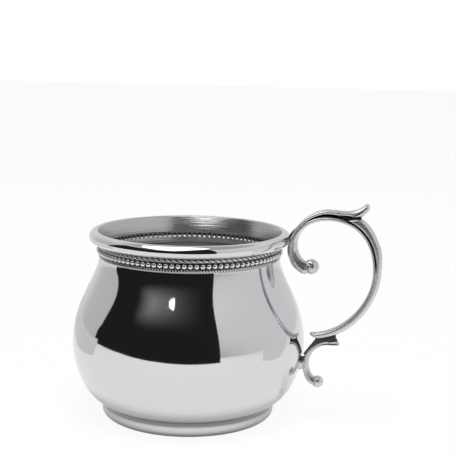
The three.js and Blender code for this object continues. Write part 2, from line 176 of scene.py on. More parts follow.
class HandleSettings(bpy.types.PropertyGroup):
    """Sizes of the three cast scrolls."""

    depth: length("Depth", "Thickness across the handle's plane", 3.6)
    end_depth: length("End depth", "Thickness where the large scroll ends", 3.0)
    joint_width: length("Joint width", "Width beside the lip", 2.95)
    strip_width: length("Inner strip", "Width of the large scroll under the thumb scroll", 1.4)
    shoulder_width: length("Shoulder width", "Width below the thumb", 3.75)
    side_width: length("Side width", "Width at the outermost place", 2.4)
    end_width: length("End width", "Width at the end above the belly", 1.95)
    knob_radius: length("Knob radius", "Radius of the curl's knob", 2.28)
    thumb_width: length("Thumb strip", "Width of the strip that ends in the thumb tip", 1.45)
    tail_knob_radius: length("Tail knob radius", "Radius of the lower scroll's knob", 1.8)


class FinishSettings(bpy.types.PropertyGroup):
    """Colours of the pewter's finishes, and the colour of the painted shade."""

    polished: colour("Polished", "Buffed outside of the bowl and the foot", "#D8D9DB")
    # The satin's colour is set darker than the polish's: partly the spun finish, partly painted shade
    # inside the bowl.
    satin: colour("Satin", "Spun inside of the bowl", "#BEBFC1")
    cast: colour("Cast", "Hand-polished castings of the handle", "#D6D7D9")
    # Painted shade: the dark colour each point takes by its darkness, in grooves, between beads, in
    # hollows, on webs and in corners where shade falls.
    painted_shade: colour("Painted shade", "Painted shade in grooves, between beads and in corners", "#2E2E30")


class StageSettings(bpy.types.PropertyGroup):
    """The table, the surrounding cloths, the light and the camera."""

    camera_place: position("Camera place", "From the cup's axis", 75.182, -301.54, 107.896)
    camera_aim: position("Camera aim", "The middle of the picture", 11.162, 2.783, 57.283)
    camera_roll: rotation("Camera roll", "Turn about the camera's line of sight", 1.0825)
    lens: FloatProperty(
        name="Lens", description="Focal length in millimetres", default=81.535, min=10
    )
    bank_power: FloatProperty(
        name="Bank power", description="Watts of the overhead bank of lamps", default=5.8, min=0
    )
    table_edge: length("Table edge", "From the axis to the table's front edge", 275)


class CupSettings(bpy.types.PropertyGroup):
    """Everything that can be changed."""

    bowl: PointerProperty(type=BowlSettings)
    foot: PointerProperty(type=FootSettings)
    handle: PointerProperty(type=HandleSettings)
    finish: PointerProperty(type=FinishSettings)
    stage: PointerProperty(type=StageSettings)


# Curves in a plane.
def point(across, up):
    """A place or a way in the plane."""
    return np.array([across, up], float)


def mm(*sizes):
    """Sizes or pairs of sizes in millimetres, as an array in metres."""
    return np.array(sizes, float) * MM


def turned_by(heading, degrees):
    """A heading turned anticlockwise."""
    angle = math.radians(degrees)
    cosine, sine = math.cos(angle), math.sin(angle)
    return point(heading[0] * cosine - heading[1] * sine, heading[0] * sine + heading[1] * cosine)


def left_of(headings):
    """The headings that lie a quarter turn anticlockwise from some others."""
    return np.stack([-headings[:, 1], headings[:, 0]], 1)


def bend(start, heading, end, arriving, leave=QUARTER_ELLIPSE, arrive=QUARTER_ELLIPSE):
    """Control points of a cubic curve that leaves along one heading and arrives along another.
    Each inner control point lies along its heading, by a share of the way that the curve has to
    go in that direction."""
    way = end - start
    leaving_point = start + heading * leave * abs(way @ heading)
    arriving_point = end - arriving * arrive * abs(way @ arriving)
    return np.array([start, leaving_point, arriving_point, end])


def cubic(control, t):
    """Points of a cubic curve, or of one curve for each t: the four control points weighted by
    the Bernstein polynomials."""
    first, second, third, last = np.moveaxis(control, -2, 0)
    t = t[:, None]
    return (
        (1 - t) ** 3 * first
        + 3 * (1 - t) ** 2 * t * second
        + 3 * (1 - t) * t**2 * third
        + t**3 * last
    )


def along(bends, place):
    """Points and unit headings on a line of cubic curves. A place is the number of curves passed,
    and within a curve it is proportional to length: the cubic's parameter is interpolated from
    its summed chord lengths. The heading is the cubic's derivative."""
    place = np.asarray(place, float)
    index = np.clip(np.floor(place).astype(int), 0, len(bends) - 1)
    samples = np.linspace(0, 1, CURVE_SAMPLES)
    parameter = np.zeros_like(place)
    for k, control in enumerate(bends):
        chords = np.linalg.norm(np.diff(cubic(control, samples), axis=0), axis=1)
        passed = np.concatenate([[0], np.cumsum(chords)])
        here = index == k
        parameter[here] = np.interp((place[here] - k) * passed[-1], passed, samples)
    control = np.asarray(bends)[index]
    legs = np.diff(control, axis=1)
    t = parameter[:, None]
    heading = (1 - t) ** 2 * legs[:, 0] + 2 * (1 - t) * t * legs[:, 1] + t**2 * legs[:, 2]
    return cubic(control, parameter), heading / np.linalg.norm(heading, axis=1)[:, None]


def arc(centre, radius, start, end, steps):
    """Points at equal angles on a circle, the angles given in degrees."""
    angle = np.radians(np.linspace(start, end, steps + 1))
    return centre + radius * np.stack([np.cos(angle), np.sin(angle)], 1)


def smooth(share):
    """Goes from 0 to 1 with level ends: 3 s squared less 2 s cubed."""
    share = np.clip(share, 0, 1)
    return share * share * (3 - 2 * share)


def size_along(place, keys):
    """A size that changes smoothly from one key to the next. Each key is a place and the size
    there."""
    size = np.full_like(place, keys[0][1])
    for (start, before), (end, after) in zip(keys[:-1], keys[1:]):
        size += (after - before) * smooth((place - start) / (end - start))
    return size


# Meshes. A shell is a list of closed rings, from one end to the other, and each point's
# darkness of painted shade.
def in_frame(out, deep, up):
    """Points outward from the cup's axis along the handle, across the handle's plane, and up."""
    return np.stack(np.broadcast_arrays(AXIS_X + out, deep, up), -1)


def pole(out, deep, up):
    """A ring of one point, where a shell closes."""
    return in_frame(out, deep, up)[None]


def full_turn(columns):
    """The angles of the points of a ring."""
    return np.linspace(0, 2 * math.pi, columns, endpoint=False)


def join_rings(first, second):
    """Corner indices of the triangles between two closed rings. Equal rings make two triangles a
    column, a ring of a single point makes a fan, and a ring of several times the points makes a
    fan round each point of the other."""
    if len(first) > len(second):
        return join_rings(second, first)[:, ::-1]
    after = np.roll(second, -1)
    if len(first) == 1:
        return np.stack([np.broadcast_to(first, second.shape), after, second], 1)
    beyond = np.roll(first, -1)
    if len(first) == len(second):
        fans = [[first, beyond, after], [first, after, second]]
    else:
        fine = second.reshape(len(first), -1)
        corners = [*fine.T, np.roll(fine[:, 0], -1)]
        half = fine.shape[1] // 2
        fans = [[first, corners[i + 1], corners[i]] for i in range(half)]
        fans.append([first, beyond, corners[half]])
        fans += [[beyond, corners[i + 1], corners[i]] for i in range(half, len(corners) - 1)]
    return np.concatenate([np.stack(fan, 1) for fan in fans])


def skin(rings):
    """Points and triangles of a closed surface through a list of closed rings, with the number of
    the gap between rings that each triangle lies in. A list that ends with its first ring again
    closes on itself."""
    looped = rings[-1] is rings[0]
    rings = rings[:-1] if looped else rings
    starts = np.cumsum([0] + [len(ring) for ring in rings])
    indices = [np.arange(start, end) for start, end in zip(starts[:-1], starts[1:])]
    if looped:
        indices.append(indices[0])
    strips = [join_rings(lower, upper) for lower, upper in zip(indices[:-1], indices[1:])]
    gaps = np.repeat(np.arange(len(strips)), [len(strip) for strip in strips])
    return np.concatenate(rings), np.concatenate(strips), gaps


def new_mesh(name, points, faces, attribute, values):
    """A mesh with a named number at each point."""
    mesh = bpy.data.meshes.new(name)
    mesh.from_pydata(points.tolist(), [], faces.tolist())
    numbers = mesh.attributes.new(attribute, "FLOAT", "POINT")
    numbers.data.foreach_set("value", values.astype(np.float32))
    return mesh


def new_object(name, data):
    """An object in the scene."""
    made = bpy.data.objects.new(name, data)
    bpy.context.scene.collection.objects.link(made)
    return made


def dress(node, shells, materials, second_from=None):
    """Puts one or more shells into a mesh object that stands for a CAD node. Each point's
    darkness, its painted shade, goes into a point attribute. Faces take the second material from
    the gap between rings with the number second_from on."""
    name = "dressed_" + node
    points, faces, gaps = zip(*(skin(rings) for rings, _ in shells))
    starts = np.cumsum([0] + [len(made) for made in points])
    faces = np.concatenate([corners + start for corners, start in zip(faces, starts)])
    darkness = np.concatenate([dark for _, dark in shells])
    mesh = new_mesh(name, np.concatenate(points), faces, "painted_shade", darkness)
    for material in materials:
        mesh.materials.append(material)
    if second_from is not None:
        second = np.concatenate(gaps) >= second_from
        mesh.polygons.foreach_set("material_index", second.astype(np.int32))
    mesh.shade_smooth()
    mesh.set_sharp_from_angle(angle=SHARP_ANGLE)
    if mesh.validate():
        raise RuntimeError(f"{name} has faces that had to be mended")
    piece = new_object(name, mesh)
    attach(piece, BODY)
    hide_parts(node)


# The bowl and its foot. A ring is first given as its radius, height, relief and painted shade.
def wall_ring(radius, height, relief):
    """A level ring round the cup's axis. Its radius is raised by a relief at each point."""
    angle = full_turn(len(relief))
    out = radius + relief
    return in_frame(out * np.cos(angle), out * np.sin(angle), height)


def bowl_bends(bowl):
    """The outside of the bowl from the floor's edge to the belly, and on to the neck."""
    floor = point(bowl.floor_radius, bowl.floor_height)
    belly = point(bowl.belly_radius, bowl.belly_height)
    neck = point(bowl.neck_radius - bowl.neck_step, bowl.height - bowl.neck_drop)
    leaning = turned_by(UP, math.degrees(bowl.neck_lean))
    return [
        bend(floor, RIGHT, belly, UP, 0.84, 0.24),
        bend(belly, UP, neck, leaning, 0.4655, 0.2554),
    ]


def flare_points(start, end):
    """A flare from a point of the wall to a point of the roll. It widens by the share of its
    height to the power 1.3."""
    return [start + point(share**1.3, share) * (end - start) for share in FLARE_SHARES]


def plain_rings(bowl, points):
    """Rings without relief through points of the section."""
    flat = np.zeros(bowl.bead_count * BEAD_COLUMNS // FINE_TO_PLAIN)
    return [(radius, height, flat, flat) for radius, height in points]


def bead_rings(bowl, wall, cap, rise, shade):
    """The border on one side of the wall. Round each bead's middle the relief is a ball's cap of
    a radius and a rise, by the distance from the middle along the wall, and 0 outside the cap.
    The painted shade goes by the share of the rise and the way up the cap."""
    pitch = 2 * math.pi / bowl.bead_count
    angle = full_turn(bowl.bead_count * BEAD_COLUMNS)
    beside = (np.mod(angle + pitch / 2, pitch) - pitch / 2) * wall
    rings = []
    for up in np.linspace(-1, 1, BAND_RINGS) * bowl.bead_radius:
        ball = np.sqrt(np.maximum(cap**2 - beside**2 - up**2, 0))
        relief = np.maximum(ball - (cap - rise), 0)
        height = bowl.height - bowl.bead_drop + up
        rings.append((wall, height, relief, shade(relief / rise, up / cap)))
    return rings


def shade_between_beads(share, up):
    """Painted shade outside: full on the wall between beads, where their shadows fall, and none
    from 0.6 of their stand.
    """
    return np.clip(1.3 - share / 0.45, 0, 1)


def shade_atop_dimple(share, up):
    """Painted shade inside: full in the upper part of each dimple, which lies in shade."""
    return np.clip(2.5 * share, 0, 1) * smooth(2.5 * up + 0.4)


def rope_rings(bowl, offset, wall, stand, turns):
    """A fine rope on a wall: a half-round reed, cut across by slanting grooves, some turns to
    each bead. The grooves are a cosine of the angle, shifted with the height, to a power.
    Painted shade darkens the grooves, and a line of it runs along the rope's edges."""
    # Painted shade: how dark the grooves are, and the dark line along the rope's edges.
    lean, narrowness, cut, darkness = 2.4, 1.3, 0.85, 0.95
    edge_from, edge_darkness = 0.93, 0.6
    middle = bowl.height - bowl.bead_drop + offset
    half = math.sqrt(bowl.rope_radius**2 - (bowl.rope_radius - bowl.rope_stand) ** 2)
    start = math.degrees(math.asin(half / bowl.rope_radius))
    centre = point(wall - bowl.rope_radius + bowl.rope_stand, middle)
    angle = full_turn(bowl.bead_count * BEAD_COLUMNS)
    rings = []
    for radius, height in arc(centre, bowl.rope_radius, -start, start, ROPE_STEPS):
        share = (height - middle) / half
        wave = 0.5 + 0.5 * np.cos(turns * bowl.bead_count * angle + lean * share)
        groove = wave**narrowness
        relief = (radius - wall) * stand / bowl.rope_stand * (1 - cut * groove)
        edge = edge_darkness if abs(share) > edge_from else 0
        rings.append((wall, height, relief, np.maximum(darkness * groove, edge)))
    return rings


def bowl_shell(bowl):
    """The bowl up its outside, round the rolled lip and down its inside, with the number of the
    gap where the satin inside starts. It starts two facets before the roll ends."""
    outside, heading = along(bowl_bends(bowl), np.linspace(0, 2, WALL_RINGS))
    inside = outside + left_of(heading) * bowl.wall
    # The back of the lower rope: a ledge under the dimples, which fades out down the neck.
    down_neck = (inside[-1, 1] - inside[:, 1]) / bowl.ledge_fade
    inside[:, 0] -= bowl.ledge * np.exp(-(down_neck**2))

    border = bowl.height - bowl.bead_drop
    neck, inner_neck = bowl.neck_radius, bowl.neck_radius - bowl.wall
    roll = point(bowl.lip_radius - bowl.lip_roll, bowl.height - bowl.lip_roll)
    under_roll = arc(roll, bowl.lip_roll - bowl.wall, 100, -100, UNDER_ROLL_STEPS)
    over_roll = arc(roll, bowl.lip_roll, -100, 115, OVER_ROLL_STEPS)
    flare = flare_points(point(neck, border + 1.45 * bowl.rope_offset), under_roll[0])
    inner_flare_start = point(inner_neck, border + bowl.bead_radius + 0.1 * MM)
    inner_flare = flare_points(inner_flare_start, over_roll[-1])[::-1]

    under_floor = [point(bowl.floor_radius * share, bowl.floor_height) for share in FLOOR_SHARES]
    on_floor = [place + UP * bowl.wall for place in reversed(under_floor)]
    beads = bead_rings(bowl, neck, bowl.bead_radius, bowl.bead_stand, shade_between_beads)
    dimples = bead_rings(bowl, inner_neck, bowl.dimple_radius, bowl.dimple_depth, shade_atop_dimple)
    outer = [
        *plain_rings(bowl, [*under_floor, *outside]),
        *rope_rings(bowl, -bowl.rope_offset, neck - bowl.neck_step, bowl.low_rope_stand, 2),
        *beads,
        *rope_rings(bowl, bowl.rope_offset, neck, bowl.rope_stand, 1),
        *plain_rings(bowl, [*flare, *under_roll, *over_roll]),
    ]
    inner = [
        *plain_rings(bowl, inner_flare),
        *dimples[::-1],
        *plain_rings(bowl, [*inside[::-1], *on_floor]),
    ]
    rings = [wall_ring(radius, height, relief) for radius, height, relief, _ in outer + inner]
    floor_poles = [pole(0, 0, bowl.floor_height), pole(0, 0, bowl.floor_height + bowl.wall)]
    dark = np.concatenate([[0], *(darkness for *_, darkness in outer + inner), [0]])
    return ([floor_poles[0], *rings, floor_poles[1]], dark), len(outer) - 2


def foot_shell(foot, bowl):
    """The foot ring as rings round its section: a rounded toe, an upright wall, and a concave
    fillet, an arc about a point outside the wall, that turns through 62 degrees until it lies
    along the bowl. Painted shade darkens the fillet and the underside of the toe, where the
    table's contact shadow is mirrored."""
    toe = point(foot.radius - foot.toe, foot.toe)
    hollow = point(foot.radius + foot.fillet_radius, foot.fillet_height)
    upright = np.linspace(foot.toe, foot.fillet_height, 8)[1:-1]
    section = np.array(
        [
            (foot.inner_radius, 0),
            *arc(toe, foot.toe, -90, 0, 16),
            *((foot.radius, height) for height in upright),
            *arc(hollow, foot.fillet_radius, 180, 118, 20),
            (foot.radius, bowl.floor_height + 1.2 * MM),
            (foot.inner_radius, bowl.floor_height + 0.4 * MM),
            (foot.inner_radius, foot.toe),
        ]
    )
    height = section[:, 1]
    # Painted shade: under the toe, and in the fillet.
    toe_shade = 0.75 * smooth(1 - height / (2 * MM))
    fillet_shade = 0.5 * smooth((height - foot.fillet_height + 0.4 * MM) / MM)
    flat = np.zeros(FOOT_COLUMNS)
    rings = [wall_ring(*place, flat) for place in section]
    dark = np.maximum(toe_shade, fillet_shade)
    return rings + rings[:1], np.repeat(dark, FOOT_COLUMNS)


# The handle. Its lines are drawn from the top of the lip and the widest place of the belly.
def lip_top(bowl):
    """Outward as far as the lip, and as high as its top."""
    return point(bowl.lip_radius, bowl.height)


def belly_side(bowl):
    """The widest place of the belly."""
    return point(bowl.belly_radius, bowl.belly_height)


def main_bends(bowl):
    """The large scroll's inner line: round the curl, up past the lip, over the top, down the side
    and in to the end."""
    curl = lip_top(bowl) + mm(6.5, -8.1)
    joint = lip_top(bowl) + mm(2.55, -2.95)
    top = lip_top(bowl) + mm(11.75, 4.8)
    side = point(bowl.belly_radius, bowl.height) + mm(20.1, -10.15)
    end = belly_side(bowl) + mm(2.3, 4.85)
    return [
        bend(curl, LEFT, joint, UP, 0.54, 0.54),
        bend(joint, UP, top, RIGHT, 0.6, 0.6),
        bend(top, RIGHT, side, DOWN, 0.62, 0.61),
        bend(side, DOWN, end, LEFT, 0.51, 0.48),
    ]


def thumb_bends(bowl, handle):
    """The thumb scroll's outer line: up from the joint, over the top, through a dip and out to
    the tip."""
    root = lip_top(bowl) + mm(2.55, -2.95) + LEFT * handle.joint_width
    top = lip_top(bowl) + mm(11.75, 8.13)
    dip = lip_top(bowl) + mm(16.4, 7.93)
    tip = lip_top(bowl) + mm(22.75, 10.66)
    return [
        bend(root, turned_by(UP, -10.9), top, RIGHT, 0.38, 0.5),
        bend(top, RIGHT, dip, RIGHT, 0.41, 0.38),
        bend(dip, RIGHT, tip, turned_by(RIGHT, 46), 0.5, 0.34),
    ]


def lower_bends(bowl):
    """The lower scroll's inner line: from the leaf tip over the crest, down the back and round to
    the tail."""
    leaf, crest, back, tail = belly_side(bowl) + mm(
        (10.95, 1.35), (7.9, 1.25), (2.0, -4.9), (4.75, -9.3)
    )
    return [
        bend(leaf, turned_by(LEFT, 8), crest, LEFT, 0.4, 0.4),
        bend(crest, LEFT, back, DOWN, 0.58, 0.55),
        bend(back, DOWN, tail, RIGHT, 0.62, 0.62),
    ]


def squared(value):
    """Raises the size of a value to the power 0.75 and keeps its sign. This squares a circle."""
    return np.sign(value) * np.abs(value) ** 0.75


def bar_places(bend_count, noses):
    """Places along a bar. They crowd at both ends, where its noses are rounded."""
    crowd = 1 - np.cos(np.linspace(0, math.pi / 2, NOSE_STEPS))
    middle = np.arange(noses[0], bend_count - noses[1], BAR_STEP)
    return np.concatenate([noses[0] * crowd[:-1], middle, bend_count - noses[1] * crowd[::-1]])


def mark(place, from_line, middles, half, shares):
    """A mark along a bar: its share at each place, and its bell across the bar, which is e to
    minus the cube of the distance from its middle over its half width in millimetres."""
    middle = size_along(place, middles)[:, None]
    share = size_along(place, shares)[:, None]
    return share, np.exp(-(np.abs((from_line - middle) / (half * MM)) ** 3))


def bar(bends, side, widths, depths, noses=(NOSE, NOSE), slants=(0, 0), lines=(), painted_shade_marks=()):
    """A cast bar beside a line of bends, as a shell. Its section is a squared ellipse, as wide and
    deep as the keys say. Noses are the shares of a bend over which the ends close along a quarter
    circle. Slants are how far the far side is drawn back at each end, in millimetres.

    A line is sunk in both faces by its share times its bell. It is its middle's keys, its half
    width, its share's keys, and how many times darker than deep its painted shade is. A painted
    shade mark is darkness without depth, in the same form less the last value: shade painted in
    grooves and on faces turned from the light."""
    deepest, face_from, slant_reach = 0.7, 0.05, 0.3
    place = bar_places(len(bends), noses)
    width, depth = size_along(place, widths)[:, None], size_along(place, depths)[:, None]
    angle = -side * full_turn(SECTION_POINTS)
    across, deep = squared(np.cos(angle)), squared(np.sin(angle))
    from_line = (across + 1) * width / 2
    sunk, dark = np.zeros_like(from_line), np.zeros_like(from_line)
    for *keys, darkness in lines:
        share, bell = mark(place, from_line, *keys)
        sunk += share * bell
        dark += np.minimum(share * darkness, 1) * bell * (np.abs(deep) > face_from)
    for keys in painted_shade_marks:
        share, bell = mark(place, from_line, *keys)
        dark += share * bell

    points, heading = along(bends, place)
    outward = side * left_of(heading)
    from_start, from_end = place, place[-1] - place
    closed = 1 - np.clip(np.minimum(from_start / noses[0], from_end / noses[1]), 0, 1)
    rounding = np.sqrt(1 - closed**2)[:, None]
    drawn = slants[0] * smooth(1 - from_start / slant_reach)
    drawn -= slants[1] * smooth(1 - from_end / slant_reach)
    back = rounding * across * drawn[:, None] * MM
    deep = deep * (1 - np.clip(sunk, 0, deepest)) * rounding * depth / 2
    across = across * rounding * width / 2
    middle = points + outward * width / 2
    out = middle[:, :1] + outward[:, :1] * across + heading[:, :1] * back
    up = middle[:, 1:] + outward[:, 1:] * across + heading[:, 1:] * back
    grid = in_frame(out, deep, up)
    dark = np.clip(dark, 0, 1)
    rings = [grid[0, :1], *grid[1:-1], grid[-1, :1]]
    return rings, np.concatenate([dark[0, :1], dark[1:-1].ravel(), dark[-1, :1]])


# A comma cut into a knob: an arc about a middle, with the radius bow, from start to end. It is
# twice half wide and cut deep. Millimetres and degrees.
Comma = namedtuple("Comma", "middle bow start end half cut")


def knob(centre, radius, depth, comma=None, darkness=0):
    """A ball about a point in the handle's plane, as a shell from the front to the back. A comma
    is cut into both faces: the depth falls by a bell of the distance from its arc. Painted shade
    darkens the comma by its bell, or else the whole ball by its darkness."""
    polar = np.linspace(0, math.pi, KNOB_RINGS + 2)[1:-1, None]
    turn = -full_turn(KNOB_COLUMNS)
    u = radius * np.sin(polar) * np.cos(turn)
    v = radius * np.sin(polar) * np.sin(turn)
    y = -depth * np.cos(polar)
    dark = np.full_like(u, darkness)
    if comma:
        from_u, from_v = u / MM - comma.middle[0], v / MM - comma.middle[1]
        nearest = np.arctan2(from_v, from_u)
        nearest = np.clip(nearest, math.radians(comma.start), math.radians(comma.end))
        away = np.hypot(from_u - comma.bow * np.cos(nearest), from_v - comma.bow * np.sin(nearest))
        bell = np.exp(-((away / comma.half) ** 2))
        y = y * (1 - np.minimum(comma.cut * MM * bell / np.maximum(np.abs(y), 0.2 * MM), 0.8))
        dark = 0.9 * bell
    grid = in_frame(centre[0] + u, y, centre[1] + v)
    rings = [pole(centre[0], -depth, centre[1]), *grid, pole(centre[0], depth, centre[1])]
    return rings, np.concatenate([[darkness], dark.ravel(), [darkness]])


def slab(outline, depth, edge, darkness):
    """A plate in the handle's plane, as a shell. Its outline is drawn in towards its middle at
    both faces, along a quarter circle as wide as the edge. The whole plate takes painted shade
    by its darkness."""
    closed = np.concatenate([outline, outline[:1]])
    passed = np.concatenate([[0], np.cumsum(np.linalg.norm(np.diff(closed, axis=0), axis=1))])
    at = np.linspace(0, passed[-1], SECTION_POINTS, endpoint=False)
    around = np.stack([np.interp(at, passed, closed[:, k]) for k in (0, 1)], 1)
    middle = around.mean(0)
    size = np.linalg.norm(around - middle, axis=1).max()
    rings = [pole(middle[0], -depth / 2, middle[1])]
    for degrees in np.linspace(0, 180, SLAB_RINGS):
        turn = math.radians(degrees)
        flat = middle + (around - middle) * (1 - edge / size * (1 - math.sin(turn)))
        y = -math.cos(turn) * edge + np.sign(degrees - 90) * (depth / 2 - edge)
        rings.append(in_frame(flat[:, 0], y, flat[:, 1]))
    rings.append(pole(middle[0], depth / 2, middle[1]))
    return rings, np.full(SECTION_POINTS * SLAB_RINGS + 2, float(darkness))


def elliptical_bar(line, across, deep, columns):
    """Rings of an elliptical bar along a line, closed to a point at both ends. Its half sizes are
    numbers, or one for each point of the line."""
    turn = full_turn(columns)
    heading = np.gradient(line, axis=0)
    heading /= np.linalg.norm(heading, axis=1)[:, None]
    places = line[:, None] + left_of(heading)[:, None] * (across * np.cos(turn))[..., None]
    grid = in_frame(places[..., 0], -deep * np.sin(turn), places[..., 1])
    return [pole(line[0, 0], 0, line[0, 1]), *grid, pole(line[-1, 0], 0, line[-1, 1])]


def pad(centre, reach, up, deep):
    """The solder pad, as a shell: a bar along the handle's reach that flares by a quarter at both
    ends, with painted shade on its upper side."""
    share = np.linspace(-1, 1, PAD_RINGS)[:, None]
    flare = 1 + 0.25 * share**2
    line = centre + RIGHT * share * reach / 2
    rings = elliptical_bar(line, up * flare, deep * flare, PAD_COLUMNS)
    # Painted shade on the upper side of the pad.
    high = np.clip((np.cos(full_turn(PAD_COLUMNS)) - 0.3) / 0.4, 0, 0.8)
    return rings, np.concatenate([[0], np.tile(high, PAD_RINGS), [0]])


def groove_shade(line, radius, depth):
    """A dark filler of painted shade in the groove of a seam along a line, as a shell."""
    rings = elliptical_bar(line, radius, depth, GROOVE_SHADE_COLUMNS)
    return rings, np.ones(len(line) * GROOVE_SHADE_COLUMNS + 2)


def in_mm(*keys):
    """Keys whose sizes are given in millimetres."""
    return [(place, size * MM) for place, size in keys]


def inner_strip(handle):
    """Keys of the large scroll's width beside the thumb scroll."""
    return [(1, handle.joint_width), (1.45, handle.strip_width)]


def main_scroll_shells(bowl, handle):
    """The large scroll with the knob of its curl, and the boss and pearl that join it to the
    lip."""
    bends = main_bends(bowl)
    widths = [
        *in_mm((0, 3.9), (0.35, 3.7), (0.7, 3.3)),
        *inner_strip(handle),
        (2.19, handle.strip_width),
        (2.37, handle.shoulder_width),
        *in_mm((2.65, 3.25)),
        (3.1, handle.side_width),
        (3.6, handle.side_width),
        (4, handle.end_width),
    ]
    band = in_mm((0, 1.0), (0.6, 0.85), (1.2, 0.5))
    curl_line = in_mm((0, 2.0), (0.6, 1.75), (1.15, 1.2))
    curl_shares = [(0, 0.1), (0.1, 0.16), (0.9, 0.12), (1.1, 0)]
    seam = in_mm((2.2, 1.15), (3.0, 0.95), (4, 0.85))
    seam_shares = [(2.16, 0), (2.26, 0.4), (2.88, 0.35), (2.99, 0.03), (3.5, 0.02), (3.7, 0)]
    scroll = bar(
        bends,
        side=1,
        widths=widths,
        depths=[(3, handle.depth), (4, handle.end_depth)],
        noses=(NOSE, 0.05),
        slants=(0, 1.2),
        # The lines' darkness and the marks are painted shade: in the curl's groove, the seam and the
        # groove beside the inner strip, and on the curl's face turned from the light.
        lines=[
            (curl_line, 0.16, curl_shares, 5),
            (band, 0.7, [(0, 0.16), (0.7, 0.1), (1, 0)], 0),
            (seam, 0.26, seam_shares, 3),
        ],
        painted_shade_marks=[
            (band, 0.75, [(0, 0.2), (0.3, 0.14), (0.75, 0.05), (1.15, 0)]),
            (inner_strip(handle), 0.22, [(1.02, 0), (1.08, 1), (2.2, 1), (2.3, 0)]),
        ],
    )
    comma = Comma(middle=(-0.5, 0.1), bow=1.0, start=-5, end=95, half=0.17, cut=0.4)
    roll = knob(bends[0][0] + mm(0.4, -1.2), handle.knob_radius, 2.15 * MM, comma)
    joint = point(bowl.lip_radius, bowl.height - bowl.lip_roll)
    # The boss is painted dark all over: painted shade where it meets the lip.
    boss = knob(joint, 1.2 * MM, 2.3 * MM, darkness=0.75)
    pearl = knob(joint + mm(-0.1, -0.15), 0.62 * MM, 2.75 * MM)
    return [scroll, roll, boss, pearl]


def thumb_scroll_shells(bowl, handle):
    """The thumb scroll, the web under its tip, set back and painted dark all over as shade, and a
    dark filler of painted shade in the groove between it and the large scroll."""
    crack = in_mm((2.1, 1.3), (2.3, 1.42), (2.7, 1.15))
    to_strip = [(0, 0.9 * MM), (1, handle.thumb_width)]
    tip = in_mm((2.6, 2.5), (2.8, 2.2), (3, 1.5))
    scroll = bar(
        thumb_bends(bowl, handle),
        side=-1,
        widths=[*to_strip, (2.05, handle.thumb_width), *tip],
        depths=[(0, handle.depth)],
        noses=(0.2, 0.15),
        # The crack's darkness and the mark along the strip are painted shade in grooves.
        lines=[(crack, 0.17, [(2.16, 0), (2.4, 0.3), (2.68, 0.3), (2.76, 0)], 3)],
        painted_shade_marks=[(to_strip, 0.32, [(0.04, 0), (0.1, 1), (2.05, 1), (2.3, 0)])],
    )
    above = mm((15.0, 6.9), (16.3, 6.75), (17.8, 6.7), (21.25, 7.3))
    below = mm((21.2, 5.0), (17.2, 4.9), (15.0, 6.2))
    # The web is painted dark all over: painted shade.
    plate = slab(lip_top(bowl) + np.concatenate([above, below]), 2.2 * MM, 0.3 * MM, 1)
    place = np.linspace(1.06, 2.3, 90)
    points, heading = along(main_bends(bowl), place)
    width = size_along(place, inner_strip(handle))[:, None]
    # A dark filler of painted shade in the groove beside the large scroll's inner strip.
    filler = groove_shade(points + left_of(heading) * width, 0.42 * MM, 1.35 * MM)
    return [scroll, plate, filler]


def lower_scroll_shells(bowl, handle):
    """The lower scroll with its knob, the web and the stem that carry it, both painted dark all
    over as shade, and the solder pad on the belly."""
    bends = lower_bends(bowl)
    belly = belly_side(bowl)
    leaf = in_mm((0, 1.3), (0.25, 1.5), (0.9, 1.25))
    vein = in_mm((0, 0.55), (1.2, 0.5), (2.2, 0.6), (3, 0.8))
    band = in_mm((2, 0.4), (3, 0.6))
    scroll = bar(
        bends,
        side=-1,
        widths=[*leaf, *in_mm((1.3, 1.3), (1.8, 1.75), (2.3, 1.95), (3, 2.5))],
        depths=[(0, handle.end_depth)],
        noses=(0.15, NOSE),
        slants=(0.3, 0),
        # The vein's darkness and the band's mark are painted shade: in the groove, and on the band's
        # face turned from the light.
        lines=[
            (vein, 0.15, [(0.1, 0.1), (0.3, 0.3), (1.05, 0.3), (1.3, 0.08), (3, 0.05)], 3.3),
            (band, 0.5, [(2, 0), (2.5, 0.12)], 0),
        ],
        painted_shade_marks=[(band, 0.5, [(2, 0), (2.5, 0.25), (3, 0.7)])],
    )
    comma = Comma(middle=(-0.4, 0.5), bow=0.9, start=190, end=350, half=0.2, cut=0.4)
    radius = handle.tail_knob_radius
    roll = knob(bends[-1][-1] + DOWN * 1.15 * MM, radius, radius, comma)
    # The web and the stem are plates painted dark all over: painted shade.
    above = mm((3.45, 2.45), (3.9, 3.3), (6.6, 3.8), (9.3, 4.75), (9.8, 4.3))
    below = mm((9.9, 3.4), (10.4, 2.6), (9.6, 2.2), (6.6, 2.1), (4.7, 1.5))
    web = slab(belly + np.concatenate([above, below]), 2.0 * MM, 0.35 * MM, 0.95)
    outline = mm((0.25, -1.9), (3.2, 2.1), (4.2, 2.4), (4.6, 1.4), (2.2, -0.6), (0.9, -2.6))
    stem = slab(belly + outline, 1.9 * MM, 0.3 * MM, 0.9)
    solder_pad = pad(belly + mm(-0.1, -4.9), 2.2 * MM, 2.0 * MM, 1.5 * MM)
    return [scroll, roll, web, stem, solder_pad]


# Materials. A link is a node and the name or number of its output.
def add(tree, kind, settings=None, links=None):
    """Adds a shader node, gives it settings and sockets' values by name or number, and links its
    sockets."""
    node = tree.nodes.new("ShaderNode" + kind)
    for key, value in (settings or {}).items():
        if isinstance(key, int) or key in node.inputs:
            node.inputs[key].default_value = value
        else:
            setattr(node, key, value)
    for key, (source, output) in (links or {}).items():
        tree.links.new(source.outputs[output], node.inputs[key])
    return node


def new_material(name):
    """A material without nodes, and its node tree."""
    material = bpy.data.materials.new(name)
    if material.name != name:
        raise RuntimeError(f"there is a material called {name} already")
    material.use_nodes = True
    material.node_tree.nodes.clear()
    return material, material.node_tree


